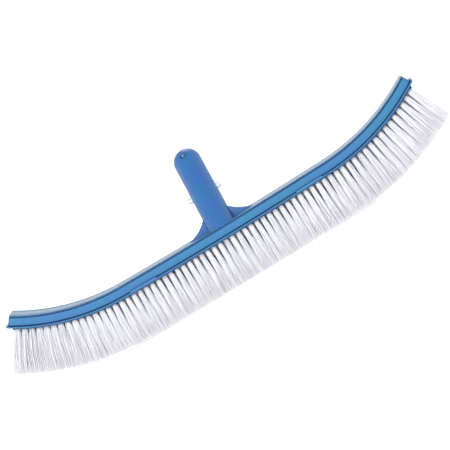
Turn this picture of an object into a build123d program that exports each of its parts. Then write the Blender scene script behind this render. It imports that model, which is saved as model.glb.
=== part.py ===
"""Curved pool wall brush: hollow back, bristle block, tufts, domed pole handle and V-clip.

All sizes are in millimetres. +X runs along the brush, +Y is the side the handle
leans to, +Z points away from the bristles. The origin lies on the handle's axis,
half way along the pilot that a telescopic pole slides over.
"""

import os
from math import atan2, cos, hypot, pi, radians, sin, tan

from build123d import *

os.makedirs("parts", exist_ok=True)

# ---------------------------------------------------------------- driving sizes
# Course of the back, taken along the underside of its flange: a nearly straight
# middle arc, then a tighter arc up to each end.
MID_RADIUS = 5200.0
MID_HALF = 115.7  # half length of the middle arc
END_RADIUS = 224.7
FLANGE_S = 237.7  # arc length from the middle to each tip of the flange

# Section of the back
BACK_H = 11.7  # flange underside to top face
TOP_HALF = 17.75  # half width of the top face
WALL_HALF = 18.45  # half width of the wall where it meets the flange
FLANGE_HALF = 21.75
FLANGE_T = 1.45
FLANGE_STEP = (0.5, 0.85)  # height and depth of the step under the flange's edge
WALL_T = 2.0
TOP_T = 2.4
WALL_S = 235.7  # end of the wall at the flange
WALL_TOP_S = 235.1  # end of the wall at the top face
CAVITY_S = 233.5
CAVITY_STEP = 5.0  # height of the rib edges that the block seats against
PAD_S = 94.0  # middle of the thicker pad on the flange
PAD_LENGTH = 29.0
PAD_T = 1.25
RIM_GROOVE = (9.65, 11.3, 1.2)  # lowest and highest rise, depth
FOOT_GROOVE = (FLANGE_T, FLANGE_T + 1.25, 0.95)
CORNER_R = 3.2  # plan corners of the wall

# Bristle block and tufts
BLOCK_S = 231.2
BLOCK_HALF = 16.3
BLOCK_DROP = 1.4  # how far the block shows below the flange
BLOCK_TOP = 4.95
LIP_S = 228.95  # a lip across each end of the block starts here
LIP_DROP = 2.8
TUFT_PITCH = 6.97
ROW_PITCH = 6.8
ROWS = 5
HOLE_R = 2.15
HOLE_DEPTH = 4.5
TUFT_ROOT_R = 2.17
TUFT_TIP_R = 3.2
TUFT_FLARE = 30.0  # length over which a tuft spreads
TIP_DROP = 46.8  # flange underside to bristle tips in the middle
TIP_DROP_END = 43.4
ANCHOR_W, ANCHOR_T, ANCHOR_H = 4.9, 0.4, 1.8
# towards the ends the tufts stand this many degrees straighter than square to the block
TUFT_LAG = [(112.0, 0.0), (160.0, 5.0), (205.0, 5.0), (226.5, 3.5)]

# Handle
LEAN = radians(36.6)
BASE_R = 14.2
PILOT_R = 14.0
PILOT_START, PILOT_END = 47.0, 81.6  # along the axis from the foot
TUBE_T = 2.5
BUTTON_L = 40.9
NIB_L = 82.3
WEB_Y0, WEB_Y1 = 2.5, 8.5

# Pole clip
CLIP_W = 9.0
CLIP_T = 2.4
BUTTON_R = 3.1
BUTTON_PROUD = 4.5
CLIP_HINGE_L = 80.15
CLIP_HINGE_X = 5.4

# Screws
SCREW_R = 1.45
SCREW_HOLE_R = 1.7
SCREW_HEAD_R = 2.9
WASHER_R = 3.6
WASHER_T = 0.6
SCREWS = [(0.0, -10.2, 7.0), (-18.2, 5.5, 7.0), (18.2, 5.5, 7.0)]

# ---------------------------------------------------------------- placing
FOOT_Y = -TOP_HALF + BASE_R / cos(LEAN)  # the axis crosses the top face here
ORIGIN_L = (PILOT_START + PILOT_END) / 2
OY = FOOT_Y + ORIGIN_L * sin(LEAN)
OZ = BACK_H + ORIGIN_L * cos(LEAN)

MID_TURN = MID_HALF / MID_RADIUS
END_CX = (MID_RADIUS - END_RADIUS) * sin(MID_TURN)
END_CZ = MID_RADIUS - (MID_RADIUS - END_RADIUS) * cos(MID_TURN)


def at(x, y, z):
    """A point given from the middle of the flange's underside."""
    return (x, y - OY, z - OZ)


def arc_at(s):
    """Centre x and z, radius and angle of the course at arc length s."""
    if abs(s) <= MID_HALF + 1e-6:
        return 0.0, MID_RADIUS, MID_RADIUS, s / MID_RADIUS
    turn = MID_TURN + (abs(s) - MID_HALF) / END_RADIUS
    side = 1 if s > 0 else -1
    return side * END_CX, END_CZ, END_RADIUS, side * turn


def on_course(s, rise):
    """x and z of the point at arc length s, rise above the flange's underside."""
    cx, cz, radius, turn = arc_at(s)
    return cx + (radius - rise) * sin(turn), cz - (radius - rise) * cos(turn)


def spans(s0, s1):
    """Splits an arc length span where the course changes radius."""
    cuts = [s0] + [c for c in (-MID_HALF, MID_HALF) if s0 + 1e-3 < c < s1 - 1e-3] + [s1]
    return list(zip(cuts, cuts[1:]))


def band(s0, s1, points, mode=Mode.ADD):
    """Sweeps a closed section of (rise, y) points along the course from s0 to s1."""
    for a, b in spans(s0, s1):
        cx, cz, radius, _ = arc_at((a + b) / 2)
        side = 0.0 if abs(cx) < 1e-9 else (1.0 if cx > 0 else -1.0)
        if side:
            t0, t1 = (
                side * (MID_TURN + (abs(v) - MID_HALF) / END_RADIUS) for v in (a, b)
            )
        else:
            t0, t1 = a / MID_RADIUS, b / MID_RADIUS
        plane = Plane(
            origin=at(cx, 0, cz),
            x_dir=(sin(t0), 0, -cos(t0)),
            z_dir=(cos(t0), 0, sin(t0)),
        )
        with BuildSketch(plane) as section:
            Polygon(*[(radius - rise, y) for rise, y in points], align=None)
        revolve(
            section.sketch,
            axis=Axis(at(cx, 0, cz), (0, -1, 0)),
            revolution_arc=(t1 - t0) * 180 / pi,
            mode=mode,
        )


def box_section(rise0, rise1, y0, y1):
    return [(rise0, y0), (rise1, y0), (rise1, y1), (rise0, y1)]


def rise_of(p):
    """Height of a point above the course, and its arc length."""
    x, z = p.X, p.Z + OZ
    if abs(atan2(x, MID_RADIUS - z)) <= MID_TURN:
        return MID_RADIUS - hypot(x, MID_RADIUS - z), MID_RADIUS * atan2(x, MID_RADIUS - z)
    dx, dz = abs(x) - END_CX, END_CZ - z
    turn = atan2(dx, dz)
    return END_RADIUS - hypot(dx, dz), (MID_HALF + (turn - MID_TURN) * END_RADIUS) * (1 if x > 0 else -1)


def tuft_turn(s):
    """Angle of a tuft's axis at arc length s."""
    lag, size = 0.0, abs(s)
    for (s0, a0), (s1, a1) in zip(TUFT_LAG, TUFT_LAG[1:]):
        if size > s0:
            lag = a0 + (a1 - a0) * (min(size, s1) - s0) / (s1 - s0)
    return arc_at(s)[3] - radians(lag) * (1 if s > 0 else -1)


def tuft_seat(s, y):
    """Place on the block's lower face for a tuft, its z axis up the tuft."""
    x, z = on_course(s, -BLOCK_DROP)
    turn = tuft_turn(s)
    return Plane(
        origin=at(x, y, z), x_dir=(cos(turn), 0, sin(turn)), z_dir=(-sin(turn), 0, cos(turn))
    ).location


FRONT = Plane(origin=at(0, 0, 0), x_dir=(1, 0, 0), z_dir=(0, -1, 0))
AXIS_DIR = (0, sin(LEAN), cos(LEAN))
FOOT = at(0, FOOT_Y, BACK_H)


def handle_plane(along):
    """Plane across the handle, this far up its axis from the foot."""
    return Plane(
        origin=(0, FOOT[1] + along * sin(LEAN), FOOT[2] + along * cos(LEAN)),
        x_dir=(1, 0, 0),
        z_dir=AXIS_DIR,
    )


def clip_plane(front):
    """Plane along the handle's axis, this far in front of it: local x is X and
    local y runs up the axis from the foot."""
    return Plane(
        origin=(0, FOOT[1] - front * cos(LEAN), FOOT[2] + front * sin(LEAN)),
        x_dir=(1, 0, 0),
        z_dir=(0, -cos(LEAN), sin(LEAN)),
    )


CLIP_PLANE = clip_plane(0)

def wall_half(rise):
    """Half width of the drafted wall at this height."""
    return WALL_HALF - (WALL_HALF - TOP_HALF) * (rise - 0.4) / (BACK_H - 0.4)


def ring(low, high, depth):
    """Ring round the wall between two heights, for a groove this deep."""
    mid = (low + high) / 2
    with BuildPart() as core:
        half, end = wall_half(mid) - depth, WALL_S - depth - 0.3
        band(-end, end, box_section(low - 0.5, high + 0.5, -half, half))
        fillet(
            core.edges().filter_by(
                lambda e: abs(e.center().X) > 200
                and abs(abs(e.center().Y + OY) - half) < 0.01
                and abs(e.length - (high - low + 1)) < 0.2
            ),
            radius=CORNER_R - 0.8,
        )
    with BuildPart() as groove:
        end = WALL_S + 5
        band(-end, end, box_section(low, high, -WALL_HALF - 3, WALL_HALF + 3))
        add(core.part, mode=Mode.SUBTRACT)
    return groove.part


# ---------------------------------------------------------------- back shell
RIBS = [28.5, 57.0, 86.0, MID_HALF, 145.0, 173.0, 201.0]
RIB_T = 1.6

with BuildPart() as back_shell:
    band(
        -WALL_S,
        WALL_S,
        [
            (0.4, -WALL_HALF),
            (BACK_H, -TOP_HALF),
            (BACK_H, TOP_HALF),
            (0.4, WALL_HALF),
        ],
    )
    # sloped end walls
    for side in (-1, 1):
        low = on_course(side * WALL_S, FLANGE_T)
        top = on_course(side * WALL_TOP_S, BACK_H)
        dx, dz = top[0] - low[0], top[1] - low[1]
        with BuildSketch(FRONT):
            with BuildLine():
                Polyline(
                    (low[0] - 0.4 * dx, low[1] - 0.4 * dz),
                    (top[0] + 0.5 * dx, top[1] + 0.5 * dz),
                    (top[0] + 0.5 * dx + side * 25, top[1] + 0.5 * dz),
                    (low[0] - 0.4 * dx + side * 25, low[1] - 0.4 * dz),
                    close=True,
                )
            make_face()
        extrude(amount=40, both=True, mode=Mode.SUBTRACT)
    # corners of the end walls, then the rim of the top face
    corners = back_shell.edges().filter_by(
        lambda e: abs(e.center().X) > 200
        and abs(e.center().Y + OY) > 17
        and 8 < e.length < 14
    )
    fillet(corners, radius=CORNER_R)
    rim = back_shell.edges().filter_by(
        lambda e: all(abs(rise_of(e @ k)[0] - BACK_H) < 0.02 for k in (0.0, 0.5, 1.0))
        and (abs((e @ 0.5).Y + OY) > 17 or abs((e @ 0.5).X) > 200)
    )
    fillet(rim, radius=0.4)
    # a groove under the rim and another at the foot of the wall
    add(ring(*RIM_GROOVE), mode=Mode.SUBTRACT)
    add(ring(*FOOT_GROOVE), mode=Mode.SUBTRACT)
    # flange and its four pads
    step_h, step_d = FLANGE_STEP
    for rise0, rise1, inset in ((0.0, step_h, step_d), (step_h, FLANGE_T, 0.0)):
        half, end = FLANGE_HALF - inset, FLANGE_S - inset
        with BuildPart(mode=Mode.PRIVATE) as plate:
            band(-end, end, box_section(rise0, rise1, -half, half))
            fillet(
                plate.edges().filter_by(
                    lambda e: abs(e.center().X) > 200
                    and abs(abs(e.center().Y + OY) - half) < 0.01
                    and abs(e.length - (rise1 - rise0)) < 0.1
                ),
                radius=4.2 - inset,
            )
        add(plate.part)
    for side in (-1, 1):
        s0, s1 = sorted((side * (PAD_S - PAD_LENGTH / 2), side * (PAD_S + PAD_LENGTH / 2)))
        for y0, y1 in ((-FLANGE_HALF, -WALL_HALF + 1), (WALL_HALF - 1, FLANGE_HALF)):
            band(s0, s1, box_section(FLANGE_T - 0.5, FLANGE_T + PAD_T, y0, y1))
    # open underside for the block, and the bays between the ribs above it
    band(
        -CAVITY_S,
        CAVITY_S,
        box_section(-1.0, CAVITY_STEP, -WALL_HALF + WALL_T, WALL_HALF - WALL_T),
        Mode.SUBTRACT,
    )
    edges_s = [0.0] + RIBS + [228.0]
    for i, (a, b) in enumerate(zip(edges_s, edges_s[1:])):
        a = a + RIB_T / 2 if i else -RIBS[0] + RIB_T / 2
        b = b - RIB_T / 2 if b < 227 else b
        section = box_section(CAVITY_STEP - 0.5, BACK_H - TOP_T, -15.6, 15.6)
        band(a, b, section, Mode.SUBTRACT)
        if i:
            band(-b, -a, section, Mode.SUBTRACT)
    # grooves that the block snaps into
    for side in (-1, 1):
        s0, s1 = sorted((side * (PAD_S - 14.3), side * (PAD_S + 14.3)))
        for y0, y1 in ((-17.35, -16.0), (16.0, 17.35)):
            band(s0, s1, box_section(2.45, 3.95, y0, y1), Mode.SUBTRACT)
    # screw holes and the slots for the handle's tongues
    for x, y, _ in SCREWS:
        with BuildSketch(Plane(origin=at(x, y, BACK_H + 1))):
            Circle(SCREW_HOLE_R)
        extrude(amount=-5, mode=Mode.SUBTRACT)
    with BuildSketch(Plane(origin=at(0, 0, BACK_H + 1))):
        with Locations((-27.0, (WEB_Y0 + WEB_Y1) / 2), (27.0, (WEB_Y0 + WEB_Y1) / 2)):
            Rectangle(7.3, WEB_Y1 - WEB_Y0 - 1.7)
    extrude(amount=-5, mode=Mode.SUBTRACT)

# ---------------------------------------------------------------- bristle block
ROW_YS = [(k - (ROWS - 1) / 2) * ROW_PITCH for k in range(ROWS)]


def row_stations(row):
    """Arc lengths of the tufts in a row; every second row sits half a pitch along."""
    if row % 2 == 0:
        return [side * (k + 0.5) * TUFT_PITCH for k in range(33) for side in (-1, 1)]
    return [0.0] + [side * k * TUFT_PITCH for k in range(1, 33) for side in (-1, 1)]


with BuildPart() as bristle_block:
    band(-BLOCK_S, BLOCK_S, box_section(-BLOCK_DROP, BLOCK_TOP, -BLOCK_HALF, BLOCK_HALF))
    block_corners = bristle_block.edges().filter_by(
        lambda e: abs(e.center().X) > 200
        and abs(abs(e.center().Y + OY) - BLOCK_HALF) < 0.01
        and abs(e.length - BLOCK_TOP - BLOCK_DROP) < 0.2
    )
    fillet(block_corners, radius=2.0)
    for side in (-1, 1):
        s0, s1 = sorted((side * (PAD_S - 14), side * (PAD_S + 14)))
        for y0, y1 in ((-17.15, -15.5), (15.5, 17.15)):
            band(s0, s1, box_section(2.65, 3.75, y0, y1))
        s0, s1 = sorted((side * LIP_S, side * BLOCK_S))
        band(s0, s1, box_section(-LIP_DROP, 0.0, -BLOCK_HALF + 2.2, BLOCK_HALF - 2.2))
    holes = [
        tuft_seat(s, y) * Location((0, 0, -0.4))
        for row, y in enumerate(ROW_YS)
        for s in row_stations(row)
    ]
    with Locations(*holes):
        Cylinder(
            HOLE_R,
            HOLE_DEPTH + 0.4,
            align=(Align.CENTER, Align.CENTER, Align.MIN),
            mode=Mode.SUBTRACT,
        )

# ---------------------------------------------------------------- tufts and anchors
tuft_rows, anchor_rows = [], []
for row, y in enumerate(ROW_YS):
    seats = [tuft_seat(s, y) for s in row_stations(row)]
    with BuildPart() as tuft_row:
        with Locations(*seats):
            Cylinder(
                TUFT_ROOT_R, HOLE_DEPTH, align=(Align.CENTER, Align.CENTER, Align.MIN)
            )
            Cone(
                TUFT_TIP_R,
                TUFT_ROOT_R,
                TUFT_FLARE,
                align=(Align.CENTER, Align.CENTER, Align.MAX),
            )
        with Locations(*[seat * Location((0, 0, -TUFT_FLARE)) for seat in seats]):
            Cylinder(TUFT_TIP_R, 20, align=(Align.CENTER, Align.CENTER, Align.MAX))
        # the tips are trimmed along one smooth curve
        with BuildSketch(FRONT):
            with BuildLine():
                reach = 237.0
                mid_l, mid_r = (on_course(s, -TIP_DROP) for s in (-100, 100))
                way_l, way_r = (
                    on_course(s, -(TIP_DROP + TIP_DROP_END) / 2 - 0.2)
                    for s in (-168, 168)
                )
                end_l, end_r = (on_course(s, -TIP_DROP_END) for s in (-reach, reach))
                top_l, top_r = (on_course(s, 20) for s in (-reach, reach))
                ThreePointArc(end_l, way_l, mid_l)
                ThreePointArc(mid_l, on_course(0, -TIP_DROP), mid_r)
                ThreePointArc(mid_r, way_r, end_r)
                Polyline(end_r, top_r, top_l, end_l)
            make_face()
        extrude(amount=30, both=True, mode=Mode.INTERSECT)
    tuft_rows.append(tuft_row)
    with BuildPart() as anchor_row:
        with Locations(
            *[seat * Location((0, 0, HOLE_DEPTH - 0.35)) for seat in seats]
        ):
            Box(
                ANCHOR_T,
                ANCHOR_W,
                ANCHOR_H,
                align=(Align.CENTER, Align.CENTER, Align.MAX),
            )
    anchor_rows.append(anchor_row)

# ---------------------------------------------------------------- pole handle
with BuildPart() as pole_handle:
    with BuildSketch(handle_plane(-30)):
        Circle(BASE_R)
    extrude(amount=30 + PILOT_START)
    with BuildSketch(CLIP_PLANE):
        with BuildLine():
            Line((0, PILOT_START), (PILOT_R, PILOT_START))
            Line((PILOT_R, PILOT_START), (PILOT_R, PILOT_END))
            ThreePointArc(
                (PILOT_R, PILOT_END),
                (PILOT_R * sin(pi / 4), PILOT_END + PILOT_R * cos(pi / 4)),
                (0, PILOT_END + PILOT_R),
            )
            Line((0, PILOT_END + PILOT_R), (0, PILOT_START))
        make_face()
    revolve(axis=Axis(FOOT, AXIS_DIR))
    # webs beside the foot, with a hollow upper edge
    with BuildSketch(Plane(origin=at(0, WEB_Y1, BACK_H), x_dir=(1, 0, 0), z_dir=(0, -1, 0))):
        with BuildLine():
            ThreePointArc((-37.5, 0.0), (-22.2, 5.6), (-13.0, 13.4))
            Line((-13.0, 13.4), (13.0, 13.4))
            ThreePointArc((13.0, 13.4), (22.2, 5.6), (37.5, 0.0))
            Line((37.5, 0.0), (-37.5, 0.0))
        make_face()
    extrude(amount=WEB_Y1 - WEB_Y0)
    # everything below the back's gently hollow top face goes
    band(-60, 60, box_section(-60, BACK_H + 0.02, -60, 60), Mode.SUBTRACT)
    # hollow for the clip, leaving a lug inside the foot's front for a screw
    inner_r = BASE_R - TUBE_T
    with BuildPart(mode=Mode.PRIVATE) as hollow:
        with BuildSketch(handle_plane(-30)):
            Circle(inner_r)
        extrude(amount=30 + PILOT_END)
        with BuildSketch(CLIP_PLANE):
            with BuildLine():
                Line((0, PILOT_END - 1), (inner_r, PILOT_END - 1))
                Line((inner_r, PILOT_END - 1), (inner_r, PILOT_END))
                ThreePointArc(
                    (inner_r, PILOT_END),
                    (inner_r * sin(pi / 4), PILOT_END + inner_r * cos(pi / 4)),
                    (0, PILOT_END + inner_r),
                )
                Line((0, PILOT_END + inner_r), (0, PILOT_END - 1))
            make_face()
        revolve(axis=Axis(FOOT, AXIS_DIR))
        with BuildSketch(Plane(origin=at(0, SCREWS[0][1] - 2.6, BACK_H - 1))):
            Rectangle(7.6, 11.6)
        extrude(amount=16, mode=Mode.SUBTRACT)
    add(hollow.part, mode=Mode.SUBTRACT)
    # side slots for the snap buttons
    slot_top = BUTTON_L + BUTTON_R + 0.35
    slot_low = BUTTON_L - BUTTON_R - 1.7
    with BuildSketch(
        Plane(
            origin=handle_plane((slot_top + slot_low) / 2).origin,
            x_dir=AXIS_DIR,
            z_dir=(1, 0, 0),
        )
    ):
        SlotOverall(slot_top - slot_low, 2 * BUTTON_R + 0.7)
    extrude(amount=30, both=True, mode=Mode.SUBTRACT)
    # window for the nib in the front of the nose
    with BuildSketch(
        Plane(origin=handle_plane(NIB_L).origin, x_dir=(1, 0, 0), z_dir=(0, -cos(LEAN), sin(LEAN)))
    ):
        Circle(3.0)
    extrude(amount=20, mode=Mode.SUBTRACT)
    # pilot holes for the screws
    for x, y, depth in SCREWS:
        with BuildSketch(Plane(origin=at(x, y, BACK_H - 1))):
            Circle(SCREW_R + 0.05)
        extrude(amount=depth + 1, mode=Mode.SUBTRACT)
    # tongues under the web ends
    with BuildSketch(Plane(origin=at(0, 0, BACK_H + 0.5))):
        with Locations((-27.0, (WEB_Y0 + WEB_Y1) / 2), (27.0, (WEB_Y0 + WEB_Y1) / 2)):
            Rectangle(7.0, WEB_Y1 - WEB_Y0 - 2)
    extrude(amount=-0.5 - TOP_T)

# ---------------------------------------------------------------- pole clip
with BuildPart() as clip_bridge:
    with BuildSketch(clip_plane(-CLIP_W / 2)):
        with BuildLine():
            CenterArc((0, CLIP_HINGE_L + 0.15), 6.6, 0, 180)
            Line((-6.6, CLIP_HINGE_L + 0.15), (-4.2, CLIP_HINGE_L + 0.15))
            CenterArc((0, CLIP_HINGE_L + 0.15), 4.2, 180, -180)
            Line((4.2, CLIP_HINGE_L + 0.15), (6.6, CLIP_HINGE_L + 0.15))
        make_face()
    extrude(amount=CLIP_W)
    with BuildSketch(clip_plane(CLIP_W / 2 - 2)):
        with BuildLine():
            CenterArc((0, CLIP_HINGE_L + 0.15), 5.4, 0, 180)
            Line((-5.4, CLIP_HINGE_L + 0.15), (5.4, CLIP_HINGE_L + 0.15))
        make_face()
    extrude(amount=2.0)
    with BuildSketch(clip_plane(CLIP_W / 2 - 0.5)):
        with Locations((0, NIB_L + 0.5)):
            Circle(2.1)
    extrude(amount=13.4 - CLIP_W / 2 + 0.5)

legs = []
for side in (-1, 1):
    with BuildPart() as clip_leg:
        with BuildSketch(clip_plane(-CLIP_W / 2)):
            with BuildLine():
                Polyline(
                    (side * 6.6, CLIP_HINGE_L - 0.15),
                    (side * 10.3, 46.0),
                    (side * 10.3, 32.0),
                    (side * (10.3 - CLIP_T), 32.0),
                    (side * (10.3 - CLIP_T), 45.8),
                    (side * 4.2, CLIP_HINGE_L - 0.15),
                    close=True,
                )
            make_face()
        extrude(amount=CLIP_W)
        with BuildSketch(
            Plane(
                origin=(side * 8.5, handle_plane(BUTTON_L).origin.Y, handle_plane(BUTTON_L).origin.Z),
                x_dir=(0, 1, 0),
                z_dir=(side, 0, 0),
            )
        ):
            Circle(BUTTON_R)
        extrude(amount=BASE_R + BUTTON_PROUD - 8.5)
        tip_edge = clip_leg.edges().filter_by(GeomType.CIRCLE).sort_by(Axis.X)[
            -1 if side > 0 else 0
        ]
        fillet(tip_edge, radius=2.2)
    legs.append(clip_leg)

# ---------------------------------------------------------------- screws and washers
with BuildPart() as handle_screws:
    for x, y, depth in SCREWS:
        seat = BACK_H - TOP_T - WASHER_T
        with BuildSketch(Plane(origin=at(x, y, seat))):
            Circle(SCREW_HEAD_R)
        extrude(amount=-1.9)
        with BuildSketch(Plane(origin=at(x, y, seat - 0.1))):
            Circle(SCREW_R)
        extrude(amount=TOP_T + WASHER_T + depth - 0.6)
        with BuildSketch(Plane(origin=at(x, y, seat - 1.9))):
            Rectangle(3.2, 0.7)
            Rectangle(0.7, 3.2)
        extrude(amount=1.1, mode=Mode.SUBTRACT)

with BuildPart() as screw_washers:
    for x, y, _ in SCREWS:
        with BuildSketch(Plane(origin=at(x, y, BACK_H - TOP_T))):
            Circle(WASHER_R)
            Circle(SCREW_R + 0.15, mode=Mode.SUBTRACT)
        extrude(amount=-WASHER_T)

# ---------------------------------------------------------------- write the pieces
back_shell.part.label = "back_shell"
export_step(back_shell.part, "parts/back_shell.step")
bristle_block.part.label = "bristle_block"
export_step(bristle_block.part, "parts/bristle_block.step")
pole_handle.part.label = "pole_handle"
export_step(pole_handle.part, "parts/pole_handle.step")
clip_bridge.part.label = "clip_bridge"
export_step(clip_bridge.part, "parts/clip_bridge.step")
for name, leg in zip(("clip_leg_left", "clip_leg_right"), legs):
    leg.part.label = name
    export_step(leg.part, f"parts/{name}.step")
handle_screws.part.label = "handle_screws"
export_step(handle_screws.part, "parts/handle_screws.step")
screw_washers.part.label = "screw_washers"
export_step(screw_washers.part, "parts/screw_washers.step")
for row in range(ROWS):
    tuft_rows[row].part.label = f"tuft_row_{row + 1}"
    export_step(tuft_rows[row].part, f"parts/tuft_row_{row + 1}.step")
    anchor_rows[row].part.label = f"tuft_anchors_row_{row + 1}"
    export_step(anchor_rows[row].part, f"parts/tuft_anchors_row_{row + 1}.step")
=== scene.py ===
"""Looks of the curved pool wall brush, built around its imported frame."""

from math import cos, hypot, pi, radians, sin, sqrt

import bpy
import numpy as np
from mathutils import Matrix, Vector


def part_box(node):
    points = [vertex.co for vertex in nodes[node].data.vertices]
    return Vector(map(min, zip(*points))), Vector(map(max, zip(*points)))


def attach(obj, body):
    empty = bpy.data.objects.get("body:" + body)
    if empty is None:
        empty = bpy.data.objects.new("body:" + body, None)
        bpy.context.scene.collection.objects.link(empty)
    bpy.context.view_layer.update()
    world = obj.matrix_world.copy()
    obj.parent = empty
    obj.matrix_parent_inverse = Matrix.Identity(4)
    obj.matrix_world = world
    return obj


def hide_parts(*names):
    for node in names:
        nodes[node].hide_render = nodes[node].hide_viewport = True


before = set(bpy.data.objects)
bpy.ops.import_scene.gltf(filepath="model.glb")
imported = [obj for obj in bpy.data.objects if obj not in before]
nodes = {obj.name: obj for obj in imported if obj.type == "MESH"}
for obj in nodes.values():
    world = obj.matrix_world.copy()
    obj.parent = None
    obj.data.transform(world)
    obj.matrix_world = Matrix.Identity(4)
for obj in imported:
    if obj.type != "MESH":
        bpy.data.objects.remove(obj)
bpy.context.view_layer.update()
scene = bpy.context.scene
MM = 0.001

# ------------------------------------------------------------------ sizes, from the frame
shell_low, shell_high = (Vector(v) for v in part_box("back_shell"))
MID_Y = (shell_low.y + shell_high.y) / 2
FLANGE_Z = shell_low.z  # underside of the flange in the middle
FLOOR_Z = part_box("tuft_row_1")[0][2]

MID_RADIUS, MID_HALF, END_RADIUS = 5200.0, 115.7, 224.7
MID_TURN = MID_HALF / MID_RADIUS
END_CX = (MID_RADIUS - END_RADIUS) * sin(MID_TURN)
END_CZ = MID_RADIUS - (MID_RADIUS - END_RADIUS) * cos(MID_TURN)


def turn_at(s):
    """Angle of the back's course at arc length s, in mm from the middle."""
    if abs(s) <= MID_HALF:
        return s / MID_RADIUS
    side = 1 if s > 0 else -1
    return side * (MID_TURN + (abs(s) - MID_HALF) / END_RADIUS)


def course(s, rise):
    """x and z in mm of the point at arc length s, rise above the flange's underside."""
    a = turn_at(s)
    if abs(s) <= MID_HALF:
        return (MID_RADIUS - rise) * sin(a), MID_RADIUS - (MID_RADIUS - rise) * cos(a)
    side = 1 if s > 0 else -1
    return side * END_CX + (END_RADIUS - rise) * sin(a), END_CZ - (END_RADIUS - rise) * cos(a)


def place(x, y, z):
    """Metres in the frame for a point in mm from the middle of the flange's underside."""
    return Vector((x * MM, MID_Y + y * MM, FLANGE_Z + z * MM))


# ------------------------------------------------------------------ materials
def new_material(name):
    m = bpy.data.materials.new(name)
    m.use_nodes = True
    tree = m.node_tree
    tree.nodes.clear()
    out = tree.nodes.new("ShaderNodeOutputMaterial")
    bsdf = tree.nodes.new("ShaderNodeBsdfPrincipled")
    tree.links.new(bsdf.outputs["BSDF"], out.inputs["Surface"])
    return m, tree, bsdf


def noise(tree, scale, detail=3.0, rough=0.5, stretch=None):
    coords = tree.nodes.new("ShaderNodeTexCoord")
    tex = tree.nodes.new("ShaderNodeTexNoise")
    tex.inputs["Scale"].default_value = scale
    tex.inputs["Detail"].default_value = detail
    tex.inputs["Roughness"].default_value = rough
    if stretch:
        mapping = tree.nodes.new("ShaderNodeMapping")
        mapping.inputs["Scale"].default_value = stretch
        tree.links.new(coords.outputs["Object"], mapping.inputs["Vector"])
        tree.links.new(mapping.outputs["Vector"], tex.inputs["Vector"])
    else:
        tree.links.new(coords.outputs["Object"], tex.inputs["Vector"])
    return tex.outputs["Fac"]


def ramp(tree, value, stops):
    node = tree.nodes.new("ShaderNodeValToRGB")
    tree.links.new(value, node.inputs["Fac"])
    while len(node.color_ramp.elements) > 1:
        node.color_ramp.elements.remove(node.color_ramp.elements[-1])
    first = True
    for at, colour in stops:
        if first:
            e = node.color_ramp.elements[0]
            e.position = at
            first = False
        else:
            e = node.color_ramp.elements.new(at)
        e.color = (*colour, 1.0)
    return node.outputs["Color"]


def map_range(tree, value, low, high, out_low, out_high, kind="LINEAR"):
    node = tree.nodes.new("ShaderNodeMapRange")
    node.interpolation_type = kind
    tree.links.new(value, node.inputs["Value"])
    node.inputs["From Min"].default_value = low
    node.inputs["From Max"].default_value = high
    node.inputs["To Min"].default_value = out_low
    node.inputs["To Max"].default_value = out_high
    return node.outputs["Result"]


def bump(tree, bsdf, value, strength, distance):
    node = tree.nodes.new("ShaderNodeBump")
    node.inputs["Strength"].default_value = strength
    node.inputs["Distance"].default_value = distance
    tree.links.new(value, node.inputs["Height"])
    tree.links.new(node.outputs["Normal"], bsdf.inputs["Normal"])


def mix(tree, fac, a, b):
    """Colour between a and b; either may be a socket or a plain colour."""
    node = tree.nodes.new("ShaderNodeMix")
    node.data_type = "RGBA"
    tree.links.new(fac, node.inputs[0])
    for value, socket in ((a, node.inputs[6]), (b, node.inputs[7])):
        if isinstance(value, tuple):
            socket.default_value = (*value, 1.0)
        else:
            tree.links.new(value, socket)
    return node.outputs[2]


def math(tree, kind, a, b=None):
    node = tree.nodes.new("ShaderNodeMath")
    node.operation = kind
    for value, socket in ((a, node.inputs[0]), (b, node.inputs[1])):
        if value is None:
            continue
        if isinstance(value, (int, float)):
            socket.default_value = value
        else:
            tree.links.new(value, socket)
    return node.outputs[0]


def edge_mask(tree, radius):
    """1 on sharp outer and inner edges, 0 on open faces."""
    bevel = tree.nodes.new("ShaderNodeBevel")
    bevel.samples = 4
    bevel.inputs["Radius"].default_value = radius
    geometry = tree.nodes.new("ShaderNodeNewGeometry")
    dot = tree.nodes.new("ShaderNodeVectorMath")
    dot.operation = "DOT_PRODUCT"
    tree.links.new(bevel.outputs["Normal"], dot.inputs[0])
    tree.links.new(geometry.outputs["Normal"], dot.inputs[1])
    return map_range(tree, dot.outputs["Value"], 0.985, 0.86, 0.0, 1.0)


def corner_shade(tree, distance, low, high):
    """Mask for painted shade and duller gloss: 1 far down in grooves and corners, 0 in the open."""
    ao = tree.nodes.new("ShaderNodeAmbientOcclusion")
    ao.samples = 8
    ao.only_local = True
    ao.inputs["Distance"].default_value = distance
    return map_range(tree, ao.outputs["AO"], low, high, 1.0, 0.0)


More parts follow.
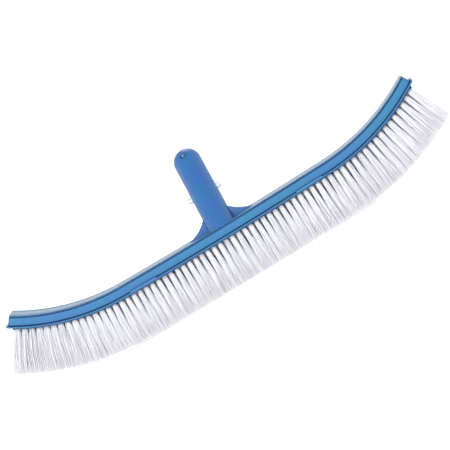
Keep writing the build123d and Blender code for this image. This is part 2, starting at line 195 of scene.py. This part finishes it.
def moulded(name, cool, warm, painted_groove_colour, rough, grain_scale, grain, specular=0.5, coat=0.0, wear=0.35, scuff=0.0, rim=None):
    """Moulded plastic: faint flow mottling, fine grain, uneven gloss, hairline
    scuffs, a little wear along edges, and painted shade: a darker tone down in grooves."""
    m, tree, bsdf = new_material(name)
    flow = noise(tree, 30.0, 3.0, 0.55, (0.5, 1.0, 1.0))
    body = ramp(tree, flow, [(0.34, cool), (0.66, warm)])
    hairline = map_range(tree, noise(tree, 420.0, 5.0, 0.7, (0.06, 1.0, 1.0)), 0.56, 0.70, 0.0, 1.0)
    patch = map_range(tree, noise(tree, 26.0, 2.0, 0.5), 0.42, 0.62, 0.0, scuff)
    rubbed = math(tree, "MULTIPLY", hairline, patch)
    speck = noise(tree, 620.0, 2.0, 0.5)
    worn = math(tree, "MULTIPLY", edge_mask(tree, 0.00045), map_range(tree, speck, 0.35, 0.62, 0.0, wear))
    pale = tuple(min(1.0, 0.75 * c + 0.14) for c in warm)
    body = mix(tree, math(tree, "MULTIPLY", rubbed, 0.35), body, pale)
    body = mix(tree, worn, body, pale)
    # painted shade: ambient occlusion darkens the base colour towards a dark navy in grooves and corners
    groove_shade_mask = corner_shade(tree, 0.0019, 0.50, 0.86)
    body = mix(tree, groove_shade_mask, body, painted_groove_colour)
    tree.links.new(body, bsdf.inputs["Base Color"])
    gloss = noise(tree, 140.0, 4.0, 0.6)
    dull = math(tree, "ADD", math(tree, "MULTIPLY", worn, 0.25), math(tree, "MULTIPLY", rubbed, 0.22))
    dull = math(tree, "ADD", dull, math(tree, "MULTIPLY", groove_shade_mask, 0.4))
    satin = rim_gloss(tree, rim) if rim else None
    if rim:
        dull = math(tree, "ADD", dull, map_range(tree, satin, 0.0, 1.0, 0.3, 0.0))
    tree.links.new(
        math(tree, "ADD", map_range(tree, gloss, 0.3, 0.7, rough - 0.04, rough + 0.06), dull),
        bsdf.inputs["Roughness"],
    )
    bump(tree, bsdf, noise(tree, grain_scale, 2.0, 0.5), 0.35, grain)
    bsdf.inputs["IOR"].default_value = 1.5
    bsdf.inputs["Specular IOR Level"].default_value = specular
    bsdf.inputs["Coat Roughness"].default_value = 0.06
    if coat:
        film = map_range(tree, groove_shade_mask, 0.0, 1.0, coat, 0.0)
        if rim:
            film = math(tree, "MULTIPLY", film, satin)
        tree.links.new(film, bsdf.inputs["Coat Weight"])
    return m


def rim_gloss(tree, rim):
    """1 over most of a face that looks up, falling off towards its long edges."""
    half, width, least = rim
    coords = tree.nodes.new("ShaderNodeTexCoord")
    split = tree.nodes.new("ShaderNodeSeparateXYZ")
    tree.links.new(coords.outputs["Object"], split.inputs["Vector"])
    out = math(tree, "ABSOLUTE", math(tree, "SUBTRACT", split.outputs["Y"], MID_Y))
    near = map_range(tree, out, half - width, half, 0.0, 1.0 - least, "SMOOTHSTEP")
    geometry = tree.nodes.new("ShaderNodeNewGeometry")
    split_n = tree.nodes.new("ShaderNodeSeparateXYZ")
    tree.links.new(geometry.outputs["Normal"], split_n.inputs["Vector"])
    up = map_range(tree, split_n.outputs["Z"], 0.45, 0.65, 0.0, 1.0)
    return math(tree, "SUBTRACT", 1.0, math(tree, "MULTIPLY", near, up))


back_blue = moulded(
    "back_blue", (0.014, 0.188, 0.335), (0.028, 0.151, 0.385), (0.001, 0.026, 0.125), 0.27, 900.0, 0.000012,
    specular=0.36, coat=0.36, wear=0.12, scuff=0.22, rim=(0.0178, 0.0138, 0.05),
)
handle_blue = moulded(
    "handle_blue", (0.020, 0.152, 0.355), (0.032, 0.126, 0.390), (0.004, 0.038, 0.150), 0.36, 1700.0, 0.00005,
    coat=0.12, wear=0.2, scuff=0.25,
)
block_teal = moulded(
    "block_teal", (0.005, 0.078, 0.185), (0.009, 0.070, 0.205), (0.003, 0.030, 0.080), 0.45, 1500.0, 0.00004
)


def clear_nylon(name, low, high, clearness):
    m, tree, bsdf = new_material(name)
    haze = noise(tree, 220.0, 3.0, 0.6)
    tree.links.new(ramp(tree, haze, [(0.3, low), (0.7, high)]), bsdf.inputs["Base Color"])
    tree.links.new(map_range(tree, haze, 0.3, 0.7, 0.12, 0.24), bsdf.inputs["Roughness"])
    bsdf.inputs["IOR"].default_value = 1.5
    bsdf.inputs["Transmission Weight"].default_value = clearness
    return m


def filament_white():
    """Milky nylon filament with painted shade from the shade attribute: greyer between the tufts near the block, and a
    little greyer at one end.
    """
    m, tree, bsdf = new_material("filament_white")
    streak = noise(tree, 900.0, 2.0, 0.5, (1.0, 1.0, 0.06))
    pale = ramp(tree, streak, [(0.35, (0.895, 0.895, 0.955)), (0.65, (0.965, 0.960, 0.990))])
    depth = tree.nodes.new("ShaderNodeAttribute")
    depth.attribute_name = "shade"
    shade = map_range(tree, depth.outputs["Fac"], 0.05, 0.75, 0.0, 1.0)
    # painted shade: the shade attribute mixes the filament colour towards a dark grey-brown
    tree.links.new(mix(tree, shade, pale, (0.270, 0.245, 0.250)), bsdf.inputs["Base Color"])
    tree.links.new(map_range(tree, streak, 0.3, 0.7, 0.38, 0.52), bsdf.inputs["Roughness"])
    bsdf.inputs["IOR"].default_value = 1.53
    bsdf.inputs["Subsurface Weight"].default_value = 0.35
    bsdf.inputs["Subsurface Radius"].default_value = (1.0, 1.0, 1.05)
    bsdf.inputs["Subsurface Scale"].default_value = 0.0006
    return m


def steel():
    m, tree, bsdf = new_material("screw_steel")
    rub = noise(tree, 500.0, 4.0, 0.6, (1.0, 1.0, 0.2))
    tree.links.new(
        ramp(tree, rub, [(0.3, (0.46, 0.47, 0.48)), (0.7, (0.60, 0.61, 0.62))]),
        bsdf.inputs["Base Color"],
    )
    tree.links.new(map_range(tree, rub, 0.3, 0.7, 0.25, 0.42), bsdf.inputs["Roughness"])
    bsdf.inputs["Metallic"].default_value = 1.0
    return m


def brass():
    m, tree, bsdf = new_material("anchor_brass")
    rub = noise(tree, 700.0, 3.0, 0.6)
    tree.links.new(
        ramp(tree, rub, [(0.3, (0.60, 0.44, 0.20)), (0.7, (0.74, 0.57, 0.30))]),
        bsdf.inputs["Base Color"],
    )
    tree.links.new(map_range(tree, rub, 0.3, 0.7, 0.28, 0.45), bsdf.inputs["Roughness"])
    bsdf.inputs["Metallic"].default_value = 1.0
    return m


nylon = clear_nylon("clear_nylon", (0.80, 0.90, 0.87), (0.90, 0.96, 0.94), 0.5)
spring_nylon = clear_nylon("spring_nylon", (0.20, 0.38, 0.68), (0.27, 0.46, 0.78), 0.55)
white, steel_m, brass_m = filament_white(), steel(), brass()


def dress(node, material):
    for s in nodes[node].material_slots:
        s.material = material
    if not nodes[node].material_slots:
        nodes[node].data.materials.append(material)


dress("back_shell", back_blue)
dress("pole_handle", handle_blue)
dress("bristle_block", block_teal)
for n in ("clip_leg_left", "clip_leg_right"):
    dress(n, nylon)
dress("clip_bridge", spring_nylon)
for n in ("handle_screws", "screw_washers"):
    dress(n, steel_m)
for k in range(5):
    dress(f"tuft_anchors_row_{k + 1}", brass_m)

# ------------------------------------------------------------------ bristles
TUFT_PITCH, ROW_PITCH, ROWS = 6.97, 6.8, 5
BLOCK_DROP = 1.4
TIP_DROP, FLAT_S, END_S = 47.3, 100.0, 237.7
TIP_DROP_LEFT, TIP_DROP_RIGHT = 46.0, 47.6  # at the two ends
TUFT_LAG = [(112.0, 0.0), (160.0, 5.0), (205.0, 5.0), (226.5, 3.5)]  # degrees
PER_TUFT, PER_TUFT_LEFT = 70, 84
SIDES = 4
ROOT_R, TIP_R = 1.9, 4.6
FILAMENT_R = 0.21
END_SPLAY = (-2.8, -2.2)  # how far the outermost tips swing along the brush, mm
HALF_FIELD, EDGE_S, SHADE_DEPTH = 2 * ROW_PITCH + 1.9, 228.4, 26.0
STATIONS_T = np.array([0.0, 0.12, 0.30, 0.58, 1.0])


def stations(row):
    if row % 2 == 0:
        return sorted(side * (k + 0.5) * TUFT_PITCH for k in range(33) for side in (-1, 1))
    return sorted([0.0] + [side * k * TUFT_PITCH for k in range(1, 33) for side in (-1, 1)])


def tuft_turn(s):
    lag, size = 0.0, abs(s)
    for (s0, a0), (s1, a1) in zip(TUFT_LAG, TUFT_LAG[1:]):
        if size > s0:
            lag = a0 + (a1 - a0) * (min(size, s1) - s0) / (s1 - s0)
    return turn_at(s) - radians(lag) * (1 if s > 0 else -1)


def tip_drop(s):
    m = abs(s)
    if m <= FLAT_S:
        return TIP_DROP
    end = TIP_DROP_LEFT if s < 0 else TIP_DROP_RIGHT
    return TIP_DROP - (TIP_DROP - end) * (m - FLAT_S) / (END_S - FLAT_S)


def bristle_row(row):
    """One row of tufts, every filament a fine tapered rod."""
    rng = np.random.default_rng(4100 + row)
    y0 = (row - (ROWS - 1) / 2) * ROW_PITCH
    verts, shades, faces, start = [], [], [], 0
    ring = np.arange(SIDES) * 2 * pi / SIDES
    golden = pi * (3 - sqrt(5))
    rings, t = len(STATIONS_T), STATIONS_T
    for s in stations(row):
        n = PER_TUFT + (PER_TUFT_LEFT - PER_TUFT if s < -150 else 0)
        turn = tuft_turn(s)
        lag = turn_at(s) - turn
        along = np.array([cos(turn), 0.0, sin(turn)])
        down = np.array([sin(turn), 0.0, -cos(turn)])
        across = np.array([0.0, 1.0, 0.0])
        x, z = course(s, -BLOCK_DROP)
        root = np.array([x, y0, z])
        i = np.arange(n)
        r = np.sqrt((i + 0.5) / n)
        phi = i * golden + rng.uniform(0, 2 * pi)
        flat = np.stack([np.cos(phi) * r, np.sin(phi) * r], 1)
        out = min(1.0, max(0.0, (abs(s) - 90.0) / 110.0))
        out = out * out * (3.0 - 2.0 * out)  # 0 along the middle, 1 out on the curved ends
        fan, g_out, root_out = (0.26, 1.0, 0.3) if s < 0 else (0.05, 0.15, 0.1)
        g = 1.0 - (1.0 - t) ** (1.08 + g_out * out)
        spread = TIP_R * (1.0 + fan * out + (0.06 if s < -188 else 0.0)) * rng.normal(1.0, 0.035)
        lean = rng.normal(0.0, 0.22, 2)
        a = flat * (ROOT_R + root_out * out) + rng.normal(0, 0.05, (n, 2))
        b = flat * spread + rng.normal(0, 0.55, (n, 2)) + lean
        swing = END_SPLAY[0] if s < 0 else END_SPLAY[1]
        b[:, 0] += swing * max(0.0, abs(s) - 195.0) / 31.5
        reach = (tip_drop(s) - BLOCK_DROP) / cos(lag) + (45 * sin(lag)) ** 2 / (2 * END_RADIUS) * -1
        length = reach + rng.normal(0, 0.22, n) - np.abs(rng.normal(0, 0.22, n))
        bow = rng.normal(0, 0.20, (n, 2))
        off = a[:, None] + (b - a)[:, None] * g[None, :, None] + bow[:, None] * np.sin(t * pi * 1.5)[None, :, None]
        depth = -1.6 + t[None] * (length + 1.6)[:, None]
        centre = root + off[..., :1] * along + off[..., 1:] * across + depth[..., None] * down
        width = FILAMENT_R * rng.normal(1.0, 0.06, n)[:, None] * (1.0 - 0.22 * (t > 0.99))[None]
        width = width * (1.0 + (0.28 if s < 0 else 0.1) * out)
        spin = rng.uniform(0, pi, n)[:, None] + ring[None]
        rim = (
            np.cos(spin)[:, None, :, None] * along + np.sin(spin)[:, None, :, None] * across
        ) * width[:, :, None, None]
        pts = centre[:, :, None, :] + rim  # filament, ring, side, xyz
        verts.append(pts.reshape(-1, 3))
        # painted shade: how far inside the brush a point lies, and how near the block
        inside = np.minimum(
            HALF_FIELD - np.abs(y0 + off[..., 1]), EDGE_S - np.abs(s + off[..., 0])
        )
        near_root = np.clip((SHADE_DEPTH - depth) / 12.0, 0.0, 1.0) * np.clip(depth / 12.0, 0.0, 1.0)
        shade = np.clip((inside - 1.9) / 3.2, 0.0, 1.0) * near_root * (1.0 - (0.8 if s < 0 else 0.55) * out)
        if s < 0:  # painted shade: the strands are shaded a little greyer towards this end
            shade = np.maximum(shade, 0.15 * out * out)
        shades.append(np.repeat(shade[:, :, None], SIDES, 2).ravel())
        idx = start + np.arange(n * rings * SIDES).reshape(n, rings, SIDES)
        start += n * rings * SIDES
        lo, hi = idx[:, :-1], idx[:, 1:]
        quads = np.stack([lo, np.roll(lo, -1, 2), np.roll(hi, -1, 2), hi], -1).reshape(-1, 4)
        faces.append(quads)
        faces.append(idx[:, -1, :])
        faces.append(idx[:, 0, ::-1])
    v = np.concatenate(verts) * MM + np.array([0.0, MID_Y, FLANGE_Z])
    f = np.concatenate(faces)
    mesh = bpy.data.meshes.new(f"bristles_row_{row + 1}")
    mesh.vertices.add(len(v))
    mesh.vertices.foreach_set("co", v.ravel())
    mesh.loops.add(f.size)
    mesh.loops.foreach_set("vertex_index", f.ravel())
    mesh.polygons.add(len(f))
    mesh.polygons.foreach_set("loop_start", np.arange(len(f)) * 4)
    mesh.polygons.foreach_set("loop_total", np.full(len(f), 4))
    mesh.update(calc_edges=True)
    mesh.attributes.new("shade", "FLOAT", "POINT").data.foreach_set(
        "value", np.concatenate(shades).astype(np.float32)
    )
    mesh.validate()
    mesh.polygons.foreach_set("use_smooth", np.ones(len(mesh.polygons), bool))
    mesh.materials.append(white)
    ob = bpy.data.objects.new(f"bristles_row_{row + 1}", mesh)
    scene.collection.objects.link(ob)
    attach(ob, "brush")
    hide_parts(f"tuft_row_{row + 1}")
    return ob


for k in range(ROWS):
    bristle_row(k)

# ------------------------------------------------------------------ floor, light and camera
bpy.ops.mesh.primitive_circle_add(vertices=96, radius=7.0, fill_type="NGON", location=(0, 0, FLOOR_Z - 0.0011))
floor = bpy.context.object
floor.name = "floor"
m, tree, bsdf = new_material("pale_floor")
tree.links.new(
    ramp(tree, noise(tree, 3.0, 2.0, 0.5), [(0.0, (0.93, 0.93, 0.93)), (1.0, (0.95, 0.95, 0.95))]),
    bsdf.inputs["Base Color"],
)
bsdf.inputs["Roughness"].default_value = 0.9
bsdf.inputs["Specular IOR Level"].default_value = 0.1
bsdf.inputs["Emission Color"].default_value = (1.0, 1.0, 1.0, 1.0)
bsdf.inputs["Emission Strength"].default_value = 0.5
floor.data.materials.append(m)

world = bpy.data.worlds.new("studio")
scene.world = world
world.use_nodes = True
wt = world.node_tree
wt.nodes.clear()
w_out = wt.nodes.new("ShaderNodeOutputWorld")
w_bg = wt.nodes.new("ShaderNodeBackground")
w_tc = wt.nodes.new("ShaderNodeTexCoord")
w_sep = wt.nodes.new("ShaderNodeSeparateXYZ")
w_ramp = wt.nodes.new("ShaderNodeValToRGB")
wt.links.new(w_tc.outputs["Generated"], w_sep.inputs["Vector"])
wt.links.new(w_sep.outputs["Z"], w_ramp.inputs["Fac"])
wt.links.new(w_ramp.outputs["Color"], w_bg.inputs["Color"])
wt.links.new(w_bg.outputs["Background"], w_out.inputs["Surface"])
e0 = w_ramp.color_ramp.elements[0]
e1 = w_ramp.color_ramp.elements[1]
e0.position, e0.color = 0.35, (1.0, 1.0, 1.0, 1)
e1.position, e1.color = 0.95, (0.28, 0.30, 0.33, 1)
w_bg.inputs["Strength"].default_value = 1.0


def area(name, where, look, size, power, colour=(1, 1, 1)):
    light = bpy.data.lights.new(name, "AREA")
    light.shape = "RECTANGLE"
    light.size, light.size_y = size
    light.energy = power
    light.color = colour
    ob = bpy.data.objects.new(name, light)
    scene.collection.objects.link(ob)
    ob.location = where
    ob.rotation_euler = (Vector(look) - Vector(where)).to_track_quat("-Z", "Y").to_euler()
    return ob


area("key", (-0.2, -2.1, 1.05), (0, 0, -0.05), (1.2, 0.9), 21)
area("fill", (-2.1, -3.1, 0.2), (0, 0, -0.07), (2.0, 0.8), 34)
area("back", (0.5, 1.5, 1.6), (0, 0, -0.05), (1.2, 1.0), 12)

PSI, ELEV, ROLL = radians(4.76), radians(5.57), radians(-31.75)
DIST, PX_PER_MM, CX, CY = 2309.0, 1.0262, 227.7, 234.5
aim = place(0, 0, 0)
back = Vector((sin(PSI) * cos(ELEV), -cos(PSI) * cos(ELEV), sin(ELEV)))
right0 = (-back).cross(Vector((0, 0, 1))).normalized()
up0 = right0.cross(-back)
right = cos(ROLL) * right0 + sin(ROLL) * up0
up = -sin(ROLL) * right0 + cos(ROLL) * up0
cam_data = bpy.data.cameras.new("camera")
cam_data.sensor_width = 36.0
cam_data.lens = PX_PER_MM * DIST * 36.0 / 450.0
cam_data.shift_x = -(CX - 225.0) / 450.0
cam_data.shift_y = (CY - 225.0) / 450.0
cam_data.clip_start, cam_data.clip_end = 0.05, 60.0
cam = bpy.data.objects.new("camera", cam_data)
scene.collection.objects.link(cam)
where = aim + back * DIST * MM
cam.matrix_world = Matrix(
    (
        (right.x, up.x, back.x, where.x),
        (right.y, up.y, back.y, where.y),
        (right.z, up.z, back.z, where.z),
        (0, 0, 0, 1),
    )
)
scene.camera = cam
scene.view_settings.view_transform = "Standard"
scene.view_settings.look = "None"
